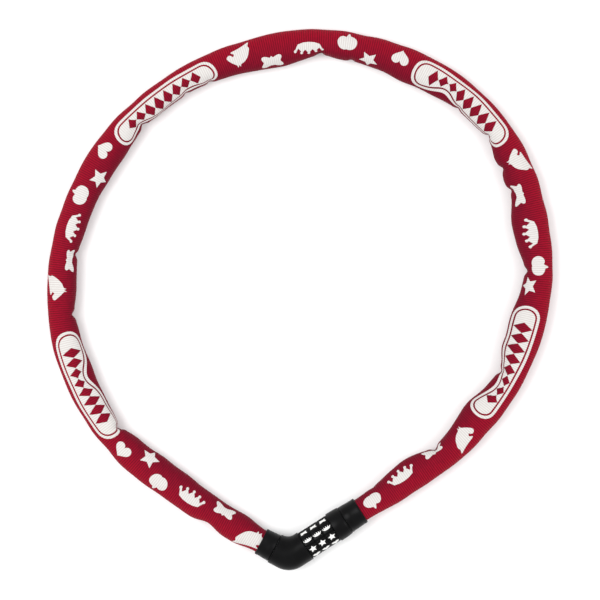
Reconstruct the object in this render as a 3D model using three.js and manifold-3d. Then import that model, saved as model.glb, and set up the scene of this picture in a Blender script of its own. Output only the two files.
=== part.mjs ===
// Chain lock for a child's bicycle: a square-link steel chain in a woven tube sleeve.
// One end is held in an elbow that carries three symbol dials. The other end is held
// in a plug whose toothed bolt slides out of the barrel that the dials turn on.
// Millimetres. +X runs along the barrel towards the plug, +Y into the loop, +Z up.
// The origin is on the flat underside of the elbow, straight below the barrel's axis.

import * as THREE from 'three';
import { mergeVertices } from 'three/addons/utils/BufferGeometryUtils.js';
import Module from 'manifold-3d';

const wasm = await Module();
wasm.setup();

// ---- driving dimensions ----------------------------------------------------

const GAP = 0.3; // clearance between neighbouring pieces
const AXIS_HEIGHT = 7.7; // the barrel's axis above the surface that the lock lies on

const DIAL_COUNT = 3;
const DIAL_PITCH = 5.63;
const DIAL_WIDTH = DIAL_PITCH - GAP;
const DIAL_MIDDLE_X = 12;
const DIAL_SYMBOLS = 9; // flats round each dial
const DIAL_TOP_FLAT_TILT = 23.4; // degrees from straight up, towards -Y
const DIAL_RADIUS = 7.55; // over the ends of the flats
const DIAL_NOTCH_RADIUS = 6.95; // at the foot of the groove between two flats
const DIAL_FLAT_HALF_ANGLE = 15.5; // degrees
const DIAL_BORE = 6.2;

const CODE_RING_RADIUS = DIAL_BORE - GAP;
const CODE_RING_BORE = 4.5;
const CODE_RING_BACK = -1.25; // from the dial's middle plane
const CODE_RING_WIDTH = 3.7;
const GATE_RADIUS = 5.5;
const GATE_WIDTH = 2.6;

const TUBE_RADIUS = CODE_RING_BORE - GAP;
const TUBE_BORE = 2.8;
const TUBE_BACK_X = -3.6;
const TUBE_SLOT_WIDTH = 1.9;
const DETENT_GROOVE_DEPTH = 0.75;
const DETENT_GROOVE_WIDTH = 2.2;
const DETENT_STRIP = { thickness: 0.35, width: 1.6, bump: 0.35 };
const DETENT_BUMP_HALF = 1.6; // half the length of the bump under each dial
const CLIP = { bore: 4.5, radius: 5.6, thickness: 0.8, clearance: 0.1 };
const CROSS_PIN_X = -1.6; // the pin that holds the tube in the elbow
const CROSS_PIN_RADIUS = 1;
const CROSS_PIN_HALF = 6;

const BOLT_RADIUS = TUBE_BORE - GAP;
const BOLT_TIP_X = 1;
const TOOTH_BACK = -2.9; // from the dial's middle plane
const TOOTH_LENGTH = 1.3;
const TOOTH_WIDTH = 1.3;
const TOOTH_RADIUS = 5.2;

const HOUSING_RADIUS = 7.9;
const ANCHOR_BORE = 5.9; // radius of the elbow's bore that holds the anchor
const ANCHOR_BORE_BACK = 2.2; // along the leg from the crossing

const LEG_HEADING = 119.4; // degrees from +X to the elbow's short leg
const BEND_X = -6.3; // where the two axes of the elbow cross
const BEND_TANGENT = 6.8; // from the crossing to each end of the bend
const LEG_SEAM = 8.4; // along the leg from the crossing
const LEG_MOUTH = 16.3;

const COLLAR_SEAM_RADIUS = 7.35;
const COLLAR_MOUTH_RADIUS = 7;
const COLLAR_BORE = 6.2;

const PLUG_SEAM_X = 27.6;
const PLUG_SHOULDER = { length: 1.5, step: 0.2 }; // taper down to the collar's seam
const PLUG_END_X = 37;
const PLUG_RECESS_DEPTH = 1.65;
const SHANK_RADIUS = 4.5;
const SHANK_FRONT_X = 22.9;
const CLEVIS_RADIUS = 5.6;
const CLEVIS_BACK_X = 27.9;
const CLEVIS_CLEAR = 9; // how far the cuts through a clevis run on past it
const BOLT_CHAMFER = 0.6;

const LINK_WIRE = 3.2; // square wire
const LINK_INNER_WIDTH = 4.8;
const LINK_COUNT = 41;
const LINK_CORNER = 3; // outer corner radius of the ends
const LINK_HOLE_CORNER = 0.5;
const LINK_SPARE = 0.9; // how much longer the hole is than the pitch
const CHAIN_PIN_RADIUS = 1.5;
const CHAIN_PIN_INSET = 2.7; // from each mouth to the pin that holds the last link
const CLEVIS_SLOT_BACK = 5.7; // from the pin to the bottom of the clevis slot
const CLEVIS_TIP = 2.7; // from the pin to the end of the clevis

const SLEEVE_RADIUS = 7.6; // to the middle of each of its flats
const SLEEVE_WALL = 0.65;
const SLEEVE_SIDES = 12;
const SLEEVE_STEPS = 58;

const ROUND = 24; // sides of the large round pieces
const SMALL_ROUND = 12;
const BEND_STEPS = 8;
const CORNER_STEPS = { outer: 2, hole: 1 };

// The route of the sleeve's middle line, from the elbow's mouth round to the plug.
const ROUTE = [
  [-14.45, 14.46],
  [-20.5, 26.3],
  [-27, 38],
  [-35, 55],
  [-42, 74],
  [-47, 94],
  [-49, 115],
  [-47, 136],
  [-41.5, 156],
  [-31.5, 175],
  [-18.5, 192],
  [-3, 206],
  [14.5, 217.5],
  [34, 226],
  [54.5, 230.5],
  [76, 232],
  [98, 230],
  [119, 224.5],
  [139, 216],
  [157.5, 203.5],
  [173.5, 187.5],
  [186.5, 169],
  [195.5, 148],
  [199.5, 125.5],
  [198.5, 103],
  [192.5, 81.5],
  [183.5, 61.5],
  [171.5, 44],
  [156.5, 29],
  [139.5, 17.5],
  [121.5, 9],
  [103, 3.8],
  [84, 1.2],
  [65, 0.5],
  [50, 0.1],
  [37.3, 0],
];

// ---- materials -------------------------------------------------------------

const material = (color, roughness, metalness) =>
  new THREE.MeshStandardMaterial({ color, roughness, metalness });

const BLACK_PLASTIC = material(0x131315, 0.45, 0);
const DIAL_PLASTIC = material(0x101012, 0.4, 0);
const SLEEVE_FABRIC = material(0xa5112d, 0.85, 0);
const CHAIN_STEEL = material(0x8e9196, 0.35, 1);
const BRIGHT_STEEL = material(0xb9bcc0, 0.25, 1);
const SPRING_STEEL = material(0x70747a, 0.3, 1);

// ---- solids ----------------------------------------------------------------

// A geometry as a solid that can be cut and joined, its faces turned outward.
function solid(geometry) {
  const bare = geometry.clone();
  bare.deleteAttribute('normal');
  bare.deleteAttribute('uv');
  const merged = mergeVertices(bare, 1e-4);
  return new wasm.Manifold(
    new wasm.Mesh({
      numProp: 3,
      vertProperties: Float32Array.from(merged.attributes.position.array),
      triVerts: Uint32Array.from(merged.index.array),
    }),
  );
}

function geometryOf(shape) {
  const mesh = shape.getMesh();
  const geometry = new THREE.BufferGeometry();
  geometry.setAttribute('position', new THREE.BufferAttribute(mesh.vertProperties, 3));
  geometry.setIndex(new THREE.BufferAttribute(mesh.triVerts, 1));
  geometry.computeVertexNormals();
  return geometry;
}

// A body of revolution about X. The profile is [x, radius] points, and runs from the
// far end back along the outside, so that its faces look outward.
function turned(profile, sides = ROUND) {
  const points = profile.map(([x, radius]) => new THREE.Vector2(radius, x));
  return solid(new THREE.LatheGeometry(points, sides).rotateZ(-Math.PI / 2));
}

function rod(x0, x1, radius, sides = ROUND) {
  return turned([[x0, 0], [x0, radius], [x1, radius], [x1, 0]], sides);
}

// A ring whose radius outside goes evenly from r0 at x0 to r1 at x1.
function ring(x0, x1, bore, r0, r1 = r0, sides = ROUND) {
  return turned([[x0, bore], [x0, r0], [x1, r1], [x1, bore], [x0, bore]], sides);
}

function block([x0, x1], [y0, y1], [z0, z1]) {
  const geometry = new THREE.BoxGeometry(x1 - x0, y1 - y0, z1 - z0);
  geometry.translate((x0 + x1) / 2, (y0 + y1) / 2, (z0 + z1) / 2);
  return solid(geometry);
}

// An upright pin about the point (x, 0, 0).
function upright(x, radius, halfLength) {
  const geometry = new THREE.CylinderGeometry(radius, radius, 2 * halfLength, SMALL_ROUND);
  return solid(geometry.rotateX(Math.PI / 2).translate(x, 0, 0));
}

// A round outline with flat sides, and with a hole if one is given.
function roundSection(radius, sides, hole = 0) {
  const around = (r) =>
    Array.from({ length: sides }, (_, k) => {
      const angle = ((k + 0.5) / sides) * 2 * Math.PI;
      return new THREE.Vector2(r * Math.cos(angle), r * Math.sin(angle));
    });
  const shape = new THREE.Shape(around(radius));
  if (hole > 0) shape.holes.push(new THREE.Path(around(hole)));
  return shape;
}

// Everything under the surface that the lock lies on, in a frame at the barrel's axis.
const underFloor = () => block([-60, 60], [-60, 60], [-2 * AXIS_HEIGHT, -AXIS_HEIGHT]);

// ---- frames ----------------------------------------------------------------

const lock = new THREE.Group();

const barrel = new THREE.Group();
barrel.position.z = AXIS_HEIGHT;
lock.add(barrel);

// The elbow's short leg: its own +X runs from the bend out of the mouth.
const leg = new THREE.Group();
leg.position.x = BEND_X;
leg.rotation.z = THREE.MathUtils.degToRad(LEG_HEADING);
leg.updateMatrix();
barrel.add(leg);

const legToBarrel = (shape) => shape.transform(leg.matrix.elements);
const barrelToLeg = (shape) => shape.transform(leg.matrix.clone().invert().elements);

function piece(parent, name, shape, look) {
  const mesh = new THREE.Mesh(geometryOf(shape), look);
  mesh.name = name;
  parent.add(mesh);
  return mesh;
}

const dialMiddle = (k) => DIAL_MIDDLE_X + (k - (DIAL_COUNT - 1) / 2) * DIAL_PITCH;
const DIALS_BACK_X = dialMiddle(0) - DIAL_WIDTH / 2;
const DIALS_FRONT_X = dialMiddle(DIAL_COUNT - 1) + DIAL_WIDTH / 2;
const ELBOW_FACE_X = DIALS_BACK_X - GAP;
const PLUG_FACE_X = DIALS_FRONT_X + GAP;
const PLUG_PIN_X = PLUG_END_X - CHAIN_PIN_INSET;
const LEG_PIN_X = LEG_MOUTH - CHAIN_PIN_INSET;

// ---- elbow -----------------------------------------------------------------

function elbowHousing() {
  const crossing = new THREE.Vector3(BEND_X, 0, 0);
  const bendStart = new THREE.Vector3(BEND_X + BEND_TANGENT, 0, 0);
  const bendEnd = new THREE.Vector3(BEND_TANGENT, 0, 0).applyMatrix4(leg.matrix);
  const bend = new THREE.ExtrudeGeometry(roundSection(HOUSING_RADIUS, ROUND), {
    steps: BEND_STEPS,
    bevelEnabled: false,
    extrudePath: new THREE.QuadraticBezierCurve3(bendStart, crossing, bendEnd),
  });
  const overlap = 0.05;
  const barrelEnd = rod(BEND_X + BEND_TANGENT - overlap, ELBOW_FACE_X, HOUSING_RADIUS);
  const legEnd = legToBarrel(rod(BEND_TANGENT - overlap, LEG_SEAM, HOUSING_RADIUS));
  const tubeBore = rod(TUBE_BACK_X - GAP, ELBOW_FACE_X + 1, TUBE_RADIUS + GAP);
  const anchorBore = legToBarrel(rod(ANCHOR_BORE_BACK, LEG_SEAM + 1, ANCHOR_BORE));
  return solid(bend)
    .add(barrelEnd)
    .add(legEnd)
    .subtract(tubeBore)
    .subtract(anchorBore)
    .subtract(upright(CROSS_PIN_X, CROSS_PIN_RADIUS + GAP, CROSS_PIN_HALF + GAP))
    .subtract(underFloor());
}

// A block whose slot takes the last link of the chain, with a hole for the pin.
function clevisCuts(pinX) {
  const halfSlot = LINK_WIRE / 2 + GAP;
  const slot = block(
    [pinX - CLEVIS_SLOT_BACK, pinX + CLEVIS_CLEAR],
    [-CLEVIS_CLEAR, CLEVIS_CLEAR],
    [-halfSlot, halfSlot],
  );
  return slot.add(upright(pinX, CHAIN_PIN_RADIUS + GAP, CLEVIS_CLEAR));
}

function chainPin(pinX) {
  return upright(pinX, CHAIN_PIN_RADIUS, CLEVIS_RADIUS - GAP);
}

function elbowAnchor() {
  const tubeRoom = rod(TUBE_BACK_X - GAP, DIALS_BACK_X, TUBE_RADIUS + GAP);
  return rod(ANCHOR_BORE_BACK + GAP, LEG_PIN_X + CLEVIS_TIP, CLEVIS_RADIUS)
    .subtract(clevisCuts(LEG_PIN_X))
    .subtract(barrelToLeg(tubeRoom));
}

piece(barrel, 'elbow_housing', elbowHousing(), BLACK_PLASTIC);
piece(
  leg,
  'elbow_collar',
  ring(LEG_SEAM + GAP, LEG_MOUTH, COLLAR_BORE, COLLAR_SEAM_RADIUS, COLLAR_MOUTH_RADIUS),
  BLACK_PLASTIC,
);
piece(leg, 'elbow_anchor', elbowAnchor(), BRIGHT_STEEL);
piece(leg, 'elbow_chain_pin', chainPin(LEG_PIN_X), BRIGHT_STEEL);

// ---- barrel ----------------------------------------------------------------

function barrelTube() {
  const slotStart = dialMiddle(0) + TOOTH_BACK - GAP;
  const tubeEnd = PLUG_FACE_X + PLUG_RECESS_DEPTH - GAP;
  const slot = block(
    [slotStart, tubeEnd + 1],
    [0, TUBE_RADIUS + 1],
    [-TUBE_SLOT_WIDTH / 2, TUBE_SLOT_WIDTH / 2],
  );
  const groove = block(
    [DIALS_BACK_X, DIALS_FRONT_X],
    [-TUBE_RADIUS - 1, -TUBE_RADIUS + DETENT_GROOVE_DEPTH],
    [-DETENT_GROOVE_WIDTH / 2, DETENT_GROOVE_WIDTH / 2],
  );
  return ring(TUBE_BACK_X, tubeEnd, TUBE_BORE, TUBE_RADIUS)
    .subtract(slot)
    .subtract(groove)
    .subtract(upright(CROSS_PIN_X, CROSS_PIN_RADIUS + GAP, HOUSING_RADIUS));
}

// A spring strip with one bump under each dial.
function detentSpring() {
  const inner = -TUBE_RADIUS + DETENT_GROOVE_DEPTH - 0.05;
  const outline = new THREE.Shape();
  const wave = [[DIALS_BACK_X + GAP, inner]];
  for (let k = 0; k < DIAL_COUNT; k += 1) {
    wave.push([dialMiddle(k) - DETENT_BUMP_HALF, inner]);
    wave.push([dialMiddle(k), inner - DETENT_STRIP.bump]);
    wave.push([dialMiddle(k) + DETENT_BUMP_HALF, inner]);
  }
  wave.push([DIALS_FRONT_X - GAP, inner]);
  wave.forEach(([x, y], k) => (k ? outline.lineTo(x, y) : outline.moveTo(x, y)));
  [...wave].reverse().forEach(([x, y]) => outline.lineTo(x, y - DETENT_STRIP.thickness));
  const strip = new THREE.ExtrudeGeometry(outline, {
    depth: DETENT_STRIP.width,
    bevelEnabled: false,
  });
  return solid(strip.translate(0, 0, -DETENT_STRIP.width / 2));
}

function retainingClip() {
  const x0 = PLUG_FACE_X + CLIP.clearance;
  const x1 = x0 + CLIP.thickness;
  const mouth = block([x0 - 1, x1 + 1], [0, CLIP.radius + 1], [-GATE_WIDTH / 2, GATE_WIDTH / 2]);
  return ring(x0, x1, CLIP.bore, CLIP.radius).subtract(mouth);
}

piece(barrel, 'barrel_tube', barrelTube(), BRIGHT_STEEL);
piece(
  barrel,
  'barrel_cross_pin',
  upright(CROSS_PIN_X, CROSS_PIN_RADIUS, CROSS_PIN_HALF),
  BRIGHT_STEEL,
);
piece(barrel, 'detent_spring', detentSpring(), SPRING_STEEL);
piece(barrel, 'retaining_clip', retainingClip(), SPRING_STEEL);

// ---- dials -----------------------------------------------------------------

// Nine flats with a groove between each two, on a plain bore, in the plane across X.
function dialRing(middle) {
  const outline = [];
  const firstFlat = 90 + DIAL_TOP_FLAT_TILT;
  const at = (degrees, radius) => {
    const angle = THREE.MathUtils.degToRad(degrees);
    return new THREE.Vector2(radius * Math.cos(angle), radius * Math.sin(angle));
  };
  for (let k = 0; k < DIAL_SYMBOLS; k += 1) {
    const normal = firstFlat + (k * 360) / DIAL_SYMBOLS;
    outline.push(at(normal - DIAL_FLAT_HALF_ANGLE, DIAL_RADIUS));
    outline.push(at(normal + DIAL_FLAT_HALF_ANGLE, DIAL_RADIUS));
    outline.push(at(normal + 180 / DIAL_SYMBOLS, DIAL_NOTCH_RADIUS));
  }
  const shape = new THREE.Shape(outline);
  shape.holes.push(roundSection(DIAL_BORE, ROUND));
  const geometry = new THREE.ExtrudeGeometry(shape, {
    depth: DIAL_WIDTH,
    bevelEnabled: false,
  });
  geometry.rotateY(Math.PI / 2).rotateX(Math.PI / 2);
  return solid(geometry.translate(middle - DIAL_WIDTH / 2, 0, 0));
}

// The ring inside a dial: the bolt's tooth passes it only through its gate.
function codeRing(middle) {
  const back = middle + CODE_RING_BACK;
  const gate = block(
    [back - 1, back + CODE_RING_WIDTH + 1],
    [0, GATE_RADIUS],
    [-GATE_WIDTH / 2, GATE_WIDTH / 2],
  );
  return ring(back, back + CODE_RING_WIDTH, CODE_RING_BORE, CODE_RING_RADIUS).subtract(gate);
}

for (let k = 0; k < DIAL_COUNT; k += 1) {
  piece(barrel, `dial_ring_${k + 1}`, dialRing(dialMiddle(k)), DIAL_PLASTIC);
  piece(barrel, `code_ring_${k + 1}`, codeRing(dialMiddle(k)), BRIGHT_STEEL);
}

// ---- plug ------------------------------------------------------------------

function plugHousing() {
  const recessEnd = PLUG_FACE_X + PLUG_RECESS_DEPTH;
  const profile = [
    [PLUG_FACE_X, CODE_RING_RADIUS],
    [PLUG_FACE_X, HOUSING_RADIUS],
    [PLUG_SEAM_X - PLUG_SHOULDER.length, HOUSING_RADIUS],
    [PLUG_SEAM_X, COLLAR_SEAM_RADIUS + PLUG_SHOULDER.step],
    [PLUG_SEAM_X, SHANK_RADIUS + GAP],
    [recessEnd, SHANK_RADIUS + GAP],
    [recessEnd, CODE_RING_RADIUS],
    [PLUG_FACE_X, CODE_RING_RADIUS],
  ];
  return turned(profile).subtract(underFloor());
}

// Pin, shank and clevis in one, with a tooth standing behind each code ring.
function lockingBolt() {
  const profile = [
    [BOLT_TIP_X, 0],
    [BOLT_TIP_X, BOLT_RADIUS - BOLT_CHAMFER],
    [BOLT_TIP_X + BOLT_CHAMFER, BOLT_RADIUS],
    [SHANK_FRONT_X, BOLT_RADIUS],
    [SHANK_FRONT_X, SHANK_RADIUS],
    [CLEVIS_BACK_X, SHANK_RADIUS],
    [CLEVIS_BACK_X, CLEVIS_RADIUS],
    [PLUG_PIN_X + CLEVIS_TIP, CLEVIS_RADIUS],
    [PLUG_PIN_X + CLEVIS_TIP, 0],
  ];
  let bolt = turned(profile).subtract(clevisCuts(PLUG_PIN_X));
  for (let k = 0; k < DIAL_COUNT; k += 1) {
    const back = dialMiddle(k) + TOOTH_BACK;
    const halfWidth = TOOTH_WIDTH / 2;
    const tooth = block([back, back + TOOTH_LENGTH], [0, TOOTH_RADIUS], [-halfWidth, halfWidth]);
    bolt = bolt.add(tooth);
  }
  return bolt;
}

piece(barrel, 'plug_housing', plugHousing(), BLACK_PLASTIC);
piece(
  barrel,
  'plug_collar',
  ring(PLUG_SEAM_X + GAP, PLUG_END_X, COLLAR_BORE, COLLAR_SEAM_RADIUS, COLLAR_MOUTH_RADIUS),
  BLACK_PLASTIC,
);
piece(barrel, 'locking_bolt', lockingBolt(), BRIGHT_STEEL);
piece(barrel, 'plug_chain_pin', chainPin(PLUG_PIN_X), BRIGHT_STEEL);

// ---- sleeve and chain --------------------------------------------------------

const route = new THREE.CatmullRomCurve3(
  ROUTE.map(([x, y]) => new THREE.Vector3(x, y, 0)),
  false,
  'catmullrom',
  0.5,
);
route.arcLengthDivisions = 2000;

const overFlats = (radius) => radius / Math.cos(Math.PI / SLEEVE_SIDES);
const sleeveShape = new THREE.ExtrudeGeometry(
  roundSection(overFlats(SLEEVE_RADIUS), SLEEVE_SIDES, overFlats(SLEEVE_RADIUS - SLEEVE_WALL)),
  { steps: SLEEVE_STEPS, bevelEnabled: false, extrudePath: route },
);
piece(barrel, 'sleeve', solid(sleeveShape), SLEEVE_FABRIC);

// A point of the chain's middle line, at a distance from the elbow's chain pin.
const ROUTE_LENGTH = route.getLength();
const PIN_TO_ROUTE = CHAIN_PIN_INSET + GAP;
const CHAIN_LENGTH = ROUTE_LENGTH + 2 * PIN_TO_ROUTE;

function chainPoint(distance) {
  const along = distance - PIN_TO_ROUTE;
  const inRoute = THREE.MathUtils.clamp(along, 0, ROUTE_LENGTH);
  const point = route.getPointAt(inRoute / ROUTE_LENGTH);
  const beyond = along - inRoute;
  const tangent = route.getTangentAt(inRoute / ROUTE_LENGTH);
  return point.addScaledVector(tangent, beyond);
}

function link(length) {
  const stadium = (halfLength, halfWidth, corner, steps) => {
    const outline = new THREE.Path();
    outline.moveTo(-halfLength + corner, -halfWidth);
    outline.lineTo(halfLength - corner, -halfWidth);
    outline.absarc(halfLength - corner, -halfWidth + corner, corner, -Math.PI / 2, 0);
    outline.absarc(halfLength - corner, halfWidth - corner, corner, 0, Math.PI / 2);
    outline.absarc(-halfLength + corner, halfWidth - corner, corner, Math.PI / 2, Math.PI);
    outline.absarc(-halfLength + corner, -halfWidth + corner, corner, Math.PI, 1.5 * Math.PI);
    return outline.getPoints(steps).slice(0, -1);
  };
  const halfHole = length / 2;
  const halfWidth = LINK_INNER_WIDTH / 2;
  const outer = [halfHole + LINK_WIRE, halfWidth + LINK_WIRE, LINK_CORNER];
  const hole = [halfHole, halfWidth, LINK_HOLE_CORNER];
  const shape = new THREE.Shape(stadium(...outer, CORNER_STEPS.outer));
  shape.holes.push(new THREE.Path(stadium(...hole, CORNER_STEPS.hole)));
  const geometry = new THREE.ExtrudeGeometry(shape, { depth: LINK_WIRE, bevelEnabled: false });
  return solid(geometry.translate(0, 0, -LINK_WIRE / 2));
}

// The last link at each end hangs on its pin, so the pitch follows from the length.
const PIN_SLACK = CHAIN_PIN_RADIUS + GAP;
const LINK_PITCH = (CHAIN_LENGTH + 2 * PIN_SLACK - LINK_SPARE) / LINK_COUNT;
const LINK_HOLE = LINK_PITCH + LINK_SPARE;
const linkShape = link(LINK_HOLE);

for (let k = 0; k < LINK_COUNT; k += 1) {
  const middle = LINK_HOLE / 2 - PIN_SLACK + k * LINK_PITCH;
  const back = chainPoint(middle - LINK_PITCH / 2);
  const front = chainPoint(middle + LINK_PITCH / 2);
  const heading = Math.atan2(front.y - back.y, front.x - back.x);
  const mesh = piece(
    barrel,
    `chain_link_${String(k + 1).padStart(2, '0')}`,
    linkShape,
    CHAIN_STEEL,
  );
  mesh.position.addVectors(back, front).multiplyScalar(0.5);
  mesh.rotation.set(k % 2 ? Math.PI / 2 : 0, 0, heading, 'ZYX');
}

export default lock;
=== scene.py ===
import math

import bmesh
import bpy
import numpy as np
from mathutils import Matrix, Vector
from mathutils.bvhtree import BVHTree
from mathutils.geometry import delaunay_2d_cdt


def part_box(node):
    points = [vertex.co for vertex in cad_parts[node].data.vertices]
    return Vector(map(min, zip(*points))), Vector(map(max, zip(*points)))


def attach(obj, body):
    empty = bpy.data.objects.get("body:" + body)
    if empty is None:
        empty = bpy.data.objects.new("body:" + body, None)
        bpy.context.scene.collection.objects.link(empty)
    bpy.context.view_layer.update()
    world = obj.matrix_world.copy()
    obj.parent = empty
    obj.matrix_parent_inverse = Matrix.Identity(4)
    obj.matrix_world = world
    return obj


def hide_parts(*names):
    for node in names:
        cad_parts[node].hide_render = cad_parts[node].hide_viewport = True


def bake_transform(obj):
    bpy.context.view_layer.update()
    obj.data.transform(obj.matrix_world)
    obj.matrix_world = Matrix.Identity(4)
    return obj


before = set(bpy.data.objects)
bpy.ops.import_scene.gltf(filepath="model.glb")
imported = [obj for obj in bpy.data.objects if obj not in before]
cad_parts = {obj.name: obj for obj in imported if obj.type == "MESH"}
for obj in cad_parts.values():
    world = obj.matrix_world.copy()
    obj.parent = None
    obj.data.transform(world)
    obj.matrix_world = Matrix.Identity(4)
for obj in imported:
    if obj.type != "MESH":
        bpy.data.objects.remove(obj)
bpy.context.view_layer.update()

MM = 0.001

# ---- driving dimensions, in metres -------------------------------------------

dial_low, dial_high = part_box("dial_ring_2")
face_low, face_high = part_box("plug_housing")
collar_low, collar_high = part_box("plug_collar")
AXIS_Z = (dial_low.z + dial_high.z) / 2
DIAL_RADIUS = (dial_high.z - dial_low.z) / 2
HOUSING_RADIUS = (face_high.y - face_low.y) / 2
SEAM = 0.07 * MM  # the gap that shows between two pieces of the lock
DIAL_PITCH = dial_low.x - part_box("dial_ring_1")[0].x
DIALS_BACK_X = (dial_low.x + dial_high.x) / 2 - 1.5 * DIAL_PITCH
DIALS_FRONT_X = DIALS_BACK_X + 3 * DIAL_PITCH
ELBOW_FACE_X = DIALS_BACK_X - SEAM

LEG_HEADING = math.radians(119.4)
BEND_X = -6.3 * MM
LEG_SEAM = 8.4 * MM
LEG_MOUTH = 16.3 * MM
LEG_DIRECTION = Vector((math.cos(LEG_HEADING), math.sin(LEG_HEADING), 0))

# The route of the sleeve's middle line, as in the CAD model.
ROUTE = [
    (-0.01445, 0.01446),
    (-0.0205, 0.0263),
    (-0.027, 0.038),
    (-0.035, 0.055),
    (-0.042, 0.074),
    (-0.047, 0.094),
    (-0.049, 0.115),
    (-0.047, 0.136),
    (-0.0415, 0.156),
    (-0.0315, 0.175),
    (-0.0185, 0.192),
    (-0.003, 0.206),
    (0.0145, 0.2175),
    (0.034, 0.226),
    (0.0545, 0.2305),
    (0.076, 0.232),
    (0.098, 0.230),
    (0.119, 0.2245),
    (0.139, 0.216),
    (0.1575, 0.2035),
    (0.1735, 0.1875),
    (0.1865, 0.169),
    (0.1955, 0.148),
    (0.1995, 0.1255),
    (0.1985, 0.103),
    (0.1925, 0.0815),
    (0.1835, 0.0615),
    (0.1715, 0.044),
    (0.1565, 0.029),
    (0.1395, 0.0175),
    (0.1215, 0.009),
    (0.103, 0.0038),
    (0.084, 0.0012),
    (0.065, 0.0005),
    (0.050, 0.0001),
    (0.0373, 0.0),
]

# ---- camera --------------------------------------------------------------------

VIEW_ROLL = math.radians(32.7)  # the barrel's slope in the picture
VIEW_WIDTH = 306 * MM
VIEW_CENTRE = Vector((68.9, 106.9, 8)) * MM
VIEW_DISTANCE = 1.3
SENSOR_MM = 36


def make_camera():
    camera = bpy.data.objects.new("camera", bpy.data.cameras.new("camera"))
    right = Vector((math.cos(VIEW_ROLL), -math.sin(VIEW_ROLL), 0))
    up = Vector((math.sin(VIEW_ROLL), math.cos(VIEW_ROLL), 0))
    turn = Matrix((right, up, Vector((0, 0, 1)))).transposed()
    place = Matrix.Translation(VIEW_CENTRE + Vector((0, 0, VIEW_DISTANCE)))
    camera.matrix_world = place @ turn.to_4x4()
    camera.data.sensor_width = SENSOR_MM
    camera.data.lens = SENSOR_MM * VIEW_DISTANCE / VIEW_WIDTH
    bpy.context.scene.collection.objects.link(camera)
    bpy.context.scene.camera = camera


make_camera()

# ---- meshes --------------------------------------------------------------------


def add_mesh(name, points, faces, smooth=True):
    mesh = bpy.data.meshes.new(name)
    mesh.from_pydata([tuple(p) for p in points], [], [tuple(f) for f in faces])
    mesh.polygons.foreach_set("use_smooth", [smooth] * len(mesh.polygons))
    mesh.update()
    made = bpy.data.objects.new(name, mesh)
    bpy.context.scene.collection.objects.link(made)
    return made


def points_of(piece):
    return np.array([v.co for v in piece.data.vertices], float)


def set_points(piece, points):
    piece.data.vertices.foreach_set("co", points.astype(np.float32).ravel())
    piece.data.update()


def facing_out(piece):
    work = bmesh.new()
    work.from_mesh(piece.data)
    bmesh.ops.recalc_face_normals(work, faces=work.faces)
    work.to_mesh(piece.data)
    work.free()
    return piece


def soften(piece, width, segments=3, angle=28):
    """Rounds the edges of a hard piece, and keeps its faces flat."""
    bevel = piece.modifiers.new("edges", "BEVEL")
    bevel.width = width
    bevel.segments = segments
    bevel.limit_method = "ANGLE"
    bevel.angle_limit = math.radians(angle)
    bevel.harden_normals = True
    return piece


def loft(rings, closed_ends=True):
    """Points and faces of a skin through rings that all have the same number of points."""
    count = len(rings[0])
    points = [p for ring in rings for p in ring]
    faces = []
    for k in range(len(rings) - 1):
        for j in range(count):
            a, b = k * count + j, k * count + (j + 1) % count
            faces.append((a, b, b + count, a + count))
    if closed_ends:
        faces.append(tuple(reversed(range(count))))
        last = (len(rings) - 1) * count
        faces.append(tuple(range(last, last + count)))
    return points, faces


def on_barrel(x, y, z):
    return Vector((x, y, AXIS_Z + z))


def on_leg(x, y, z):
    side = Vector((-LEG_DIRECTION.y, LEG_DIRECTION.x, 0))
    return Vector((BEND_X, 0, AXIS_Z + z)) + LEG_DIRECTION * x + side * y


def turned(name, profile, place=on_barrel, sides=96):
    """A body of revolution about the barrel or the leg: profile is [x, radius] points in metres."""
    rings = [
        [
            place(x, r * math.cos(2 * math.pi * j / sides), r * math.sin(2 * math.pi * j / sides))
            for j in range(sides)
        ]
        for x, r in profile
    ]
    points, faces = loft(rings, closed_ends=False)
    count = len(profile)
    for j in range(sides):
        following = (j + 1) % sides
        last = (count - 1) * sides
        faces.append((last + j, last + following, following, j))
    return facing_out(add_mesh(name, points, faces))


# ---- route ---------------------------------------------------------------------


def smooth_line(points, steps, closed=False):
    """Catmull-Rom curve through points, with steps pieces between each two."""
    given = np.array(points, float)
    if closed:
        padded = np.vstack([given[-1], given, given[:2]])
    else:
        padded = np.vstack([2 * given[0] - given[1], given, 2 * given[-1] - given[-2]])
    t = np.arange(steps)[:, None] / steps
    line = []
    for k in range(1, len(padded) - 2):
        p0, p1, p2, p3 = padded[k - 1 : k + 3]
        bend = 2 * p0 - 5 * p1 + 4 * p2 - p3
        twist = 3 * p1 - p0 - 3 * p2 + p3
        line.append(0.5 * (2 * p1 + (p2 - p0) * t + bend * t**2 + twist * t**3))
    if not closed:
        line.append(given[-1:])
    return np.vstack(line)


route_line = smooth_line(ROUTE, 60)
route_steps = np.linalg.norm(np.diff(route_line, axis=0), axis=1)
route_along = np.concatenate([[0], np.cumsum(route_steps)])
SLEEVE_LENGTH = float(route_along[-1])


def route_place(along):
    """Middle point and outward side of the route at distances along it.

    Beyond its ends the route runs on straight.
    """
    inside = np.clip(along, 0, SLEEVE_LENGTH)
    centre = np.stack([np.interp(inside, route_along, route_line[:, i]) for i in (0, 1)], -1)
    near = 0.4 * MM
    ends = [np.clip(inside + d, 0, SLEEVE_LENGTH) for d in (-near, near)]
    two = [
        np.stack([np.interp(e, route_along, route_line[:, i]) for i in (0, 1)], -1) for e in ends
    ]
    tangent = two[1] - two[0]
    tangent /= np.linalg.norm(tangent, axis=-1, keepdims=True)
    centre = centre + tangent * (along - inside)[..., None]
    outward = np.stack([-tangent[..., 1], tangent[..., 0]], -1)
    return centre, outward


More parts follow.
